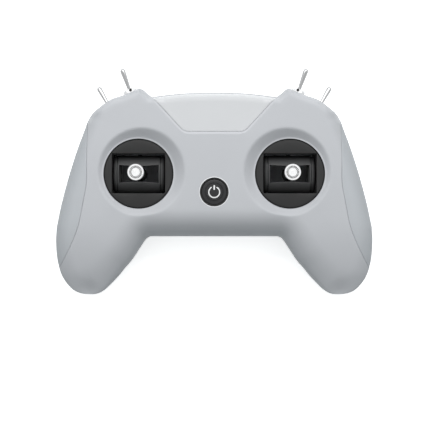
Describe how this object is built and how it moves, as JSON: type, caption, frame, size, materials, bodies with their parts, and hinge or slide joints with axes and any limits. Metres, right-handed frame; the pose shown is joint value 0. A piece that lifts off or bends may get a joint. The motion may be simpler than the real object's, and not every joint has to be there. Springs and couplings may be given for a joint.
{
  "type": "radio transmitter controller",
  "caption": "Hand-held gamepad-shaped radio transmitter with sprung thumb sticks in round dishes, toggle levers at the shoulders, a power button and a bare name panel.",
  "frame": {"origin": "on the flat rest face of the back, on the line of symmetry", "axes": "+X to the right of the face, +Y toward the toggle switches, +Z out of the face"},
  "size_m": [0.19, 0.135, 0.0581],
  "materials": {
    "case_grey": "light grey moulded ABS with a fine satin texture",
    "panel_grey": "paler satin grey plate",
    "black_plastic": "black moulded plastic",
    "dark_plastic": "dark grey moulded plastic, slightly glossy",
    "bright_metal": "polished plating",
    "steel": "plain steel",
    "circuit_board": "green solder mask",
    "battery_wrap": "blue shrink wrap"
  },
  "bodies": {
    "case": {"front_cover": "case_grey", "rear_cover": "case_grey", "left_grip_side": "case_grey", "right_grip_side": "case_grey", "name_panel": "panel_grey", "left_top_case_screw": "steel", "right_top_case_screw": "steel", "left_middle_case_screw": "steel", "right_middle_case_screw": "steel", "left_grip_case_screw": "steel", "right_grip_case_screw": "steel", "left_gimbal_bezel": "black_plastic", "left_gimbal_frame": "black_plastic", "left_vertical_sensor": "circuit_board", "left_outer_switch_body": "black_plastic", "left_outer_switch_nut": "bright_metal", "left_inner_switch_body": "black_plastic", "left_inner_switch_nut": "bright_metal", "right_gimbal_bezel": "black_plastic", "right_gimbal_frame": "black_plastic", "right_vertical_sensor": "circuit_board", "right_outer_switch_body": "black_plastic", "right_outer_switch_nut": "bright_metal", "right_inner_switch_body": "black_plastic", "right_inner_switch_nut": "bright_metal", "left_friction_strap": "steel", "right_vertical_spring": "steel", "radio_module": "steel", "usb_socket": "steel", "power_button_bezel": "black_plastic", "power_switch": "black_plastic", "bind_switch": "black_plastic", "setup_switch": "black_plastic", "buzzer": "black_plastic", "main_board": "circuit_board", "antenna_board": "circuit_board", "battery_pack": "battery_wrap"},
    "left_saddle": {"left_gimbal_saddle": "dark_plastic", "left_sideways_sensor": "circuit_board", "left_sideways_spring": "steel"},
    "left_stick": {"left_stick_hub": "black_plastic", "left_stick_shaft": "steel", "left_stick_end": "bright_metal"},
    "left_outer_lever": {"left_outer_switch_lever": "bright_metal"},
    "left_inner_lever": {"left_inner_switch_lever": "bright_metal"},
    "right_saddle": {"right_gimbal_saddle": "dark_plastic", "right_sideways_sensor": "circuit_board", "right_sideways_spring": "steel"},
    "right_stick": {"right_stick_hub": "black_plastic", "right_stick_shaft": "steel", "right_stick_end": "bright_metal"},
    "right_outer_lever": {"right_outer_switch_lever": "bright_metal"},
    "right_inner_lever": {"right_inner_switch_lever": "bright_metal"},
    "power_cap": {"power_button_cap": "dark_plastic"},
    "bind_cap": {"bind_button": "dark_plastic"},
    "setup_cap": {"setup_button": "dark_plastic"}
  },
  "joints": [
    {"name": "left_stick_throttle", "type": "hinge", "parent": "case", "child": "left_saddle", "pos_m": [-0.04447, 0.0044, 0.0226], "axis": [-1, 0, 0], "range_deg": [-27, 27]},
    {"name": "left_stick_yaw", "type": "hinge", "parent": "left_saddle", "child": "left_stick", "pos_m": [-0.04447, 0.0044, 0.0226], "axis": [0, 1, 0], "range_deg": [-27, 27], "stiffness_Nm_per_rad": 0.03},
    {"name": "right_stick_pitch", "type": "hinge", "parent": "case", "child": "right_saddle", "pos_m": [0.04447, 0.0044, 0.0226], "axis": [-1, 0, 0], "range_deg": [-27, 27], "stiffness_Nm_per_rad": 0.03},
    {"name": "right_stick_roll", "type": "hinge", "parent": "right_saddle", "child": "right_stick", "pos_m": [0.04447, 0.0044, 0.0226], "axis": [0, 1, 0], "range_deg": [-27, 27], "stiffness_Nm_per_rad": 0.03},
    {"name": "left_outer_switch_flip", "type": "hinge", "parent": "case", "child": "left_outer_lever", "pos_m": [-0.06114, 0.04217, 0.027], "axis": [0.866, 0.5, 0], "range_deg": [0, 24]},
    {"name": "left_inner_switch_flip", "type": "hinge", "parent": "case", "child": "left_inner_lever", "pos_m": [-0.04924, 0.05119, 0.027], "axis": [0.9397, 0.342, 0], "range_deg": [-13, 13]},
    {"name": "right_outer_switch_flip", "type": "hinge", "parent": "case", "child": "right_outer_lever", "pos_m": [0.06114, 0.04217, 0.027], "axis": [0.866, -0.5, 0], "range_deg": [0, 24]},
    {"name": "right_inner_switch_flip", "type": "hinge", "parent": "case", "child": "right_inner_lever", "pos_m": [0.04924, 0.05119, 0.027], "axis": [0.9397, -0.342, 0], "range_deg": [-13, 13]},
    {"name": "power_button_press", "type": "slide", "parent": "case", "child": "power_cap", "axis": [0, 0, -1], "range_m": [0, 0.0007], "stiffness_N_per_m": 800},
    {"name": "bind_button_press", "type": "slide", "parent": "case", "child": "bind_cap", "axis": [0, 0, 1], "range_m": [0, 0.0005], "stiffness_N_per_m": 800},
    {"name": "setup_button_press", "type": "slide", "parent": "case", "child": "setup_cap", "axis": [0, 0, 1], "range_m": [0, 0.0005], "stiffness_N_per_m": 800}
  ]
}
